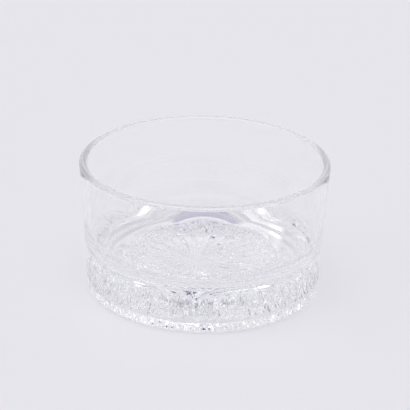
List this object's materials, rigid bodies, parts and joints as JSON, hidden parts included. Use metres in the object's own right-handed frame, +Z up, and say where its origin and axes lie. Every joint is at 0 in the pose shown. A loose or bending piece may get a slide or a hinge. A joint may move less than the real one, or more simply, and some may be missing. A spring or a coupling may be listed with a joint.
{
  "type": "floating candle bowl",
  "caption": "Round clear pressed-glass bowl, slightly flared, with a thick base moulded underneath with a sunburst and a ring of ice flakes; holds water and a floating candle.",
  "frame": {"origin": "centre of the circle that the foot ring stands on", "axes": "+Z up along the bowl's axis; +X and +Y are alike, because the bowl is round"},
  "size_m": [0.12, 0.12, 0.0648],
  "materials": {
    "clear_glass": "clear pressed glass, fire-polished wall and rim, moulded underside"
  },
  "bodies": {
    "root": {"glass_bowl": "clear_glass"}
  },
  "joints": []
}
